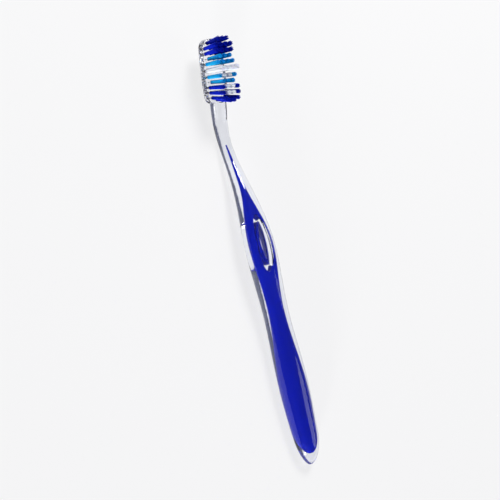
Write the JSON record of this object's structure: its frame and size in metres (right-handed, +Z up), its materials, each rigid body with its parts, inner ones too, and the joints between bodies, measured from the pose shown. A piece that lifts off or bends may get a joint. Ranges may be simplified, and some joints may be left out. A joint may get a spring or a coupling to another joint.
{
  "type": "manual toothbrush",
  "caption": "Manual toothbrush with a clear handle over a blue core, an eye through the handle, and an angled head of fanned blue and white tufts.",
  "frame": {"origin": "middle of the brush in plan, at the height of the surface that it lies on", "axes": "+X from the butt of the handle to the toe of the head, +Y across the brush, +Z up with the tufts on top"},
  "size_m": [0.1903, 0.0146, 0.0211],
  "materials": {
    "clear_plastic": "polished clear plastic",
    "core_blue": "glossy",
    "bristle_dark_blue": "nylon filament",
    "bristle_light_blue": "nylon filament",
    "bristle_white": "nylon filament",
    "anchor_metal": "rolled strip"
  },
  "bodies": {
    "root": {"blue_core": "core_blue", "clear_body": "clear_plastic", "tuft_01a": "bristle_dark_blue", "tuft_01b": "bristle_dark_blue", "tuft_01c": "bristle_dark_blue", "tuft_02a": "bristle_dark_blue", "tuft_02b": "bristle_dark_blue", "tuft_02c": "bristle_dark_blue", "tuft_02d": "bristle_dark_blue", "tuft_03a": "bristle_dark_blue", "tuft_03b": "bristle_dark_blue", "tuft_03c": "bristle_dark_blue", "tuft_03d": "bristle_dark_blue", "tuft_04a": "bristle_light_blue", "tuft_04b": "bristle_light_blue", "tuft_04c": "bristle_light_blue", "tuft_05a": "bristle_light_blue", "tuft_05b": "bristle_light_blue", "tuft_05c": "bristle_light_blue", "tuft_05d": "bristle_light_blue", "tuft_06a": "bristle_white", "tuft_06b": "bristle_white", "tuft_06c": "bristle_white", "tuft_06d": "bristle_white", "tuft_07a": "bristle_light_blue", "tuft_07b": "bristle_white", "tuft_07c": "bristle_white", "tuft_07d": "bristle_light_blue", "tuft_08a": "bristle_light_blue", "tuft_08b": "bristle_light_blue", "tuft_08c": "bristle_light_blue", "tuft_09a": "bristle_dark_blue", "tuft_09b": "bristle_white", "tuft_09c": "bristle_white", "tuft_09d": "bristle_dark_blue", "tuft_10a": "bristle_dark_blue", "tuft_10b": "bristle_white", "tuft_10c": "bristle_white", "tuft_10d": "bristle_dark_blue", "tuft_11a": "bristle_dark_blue", "tuft_11b": "bristle_dark_blue", "tuft_11c": "bristle_dark_blue", "tuft_11d": "bristle_dark_blue", "tuft_anchors": "anchor_metal"}
  },
  "joints": []
}
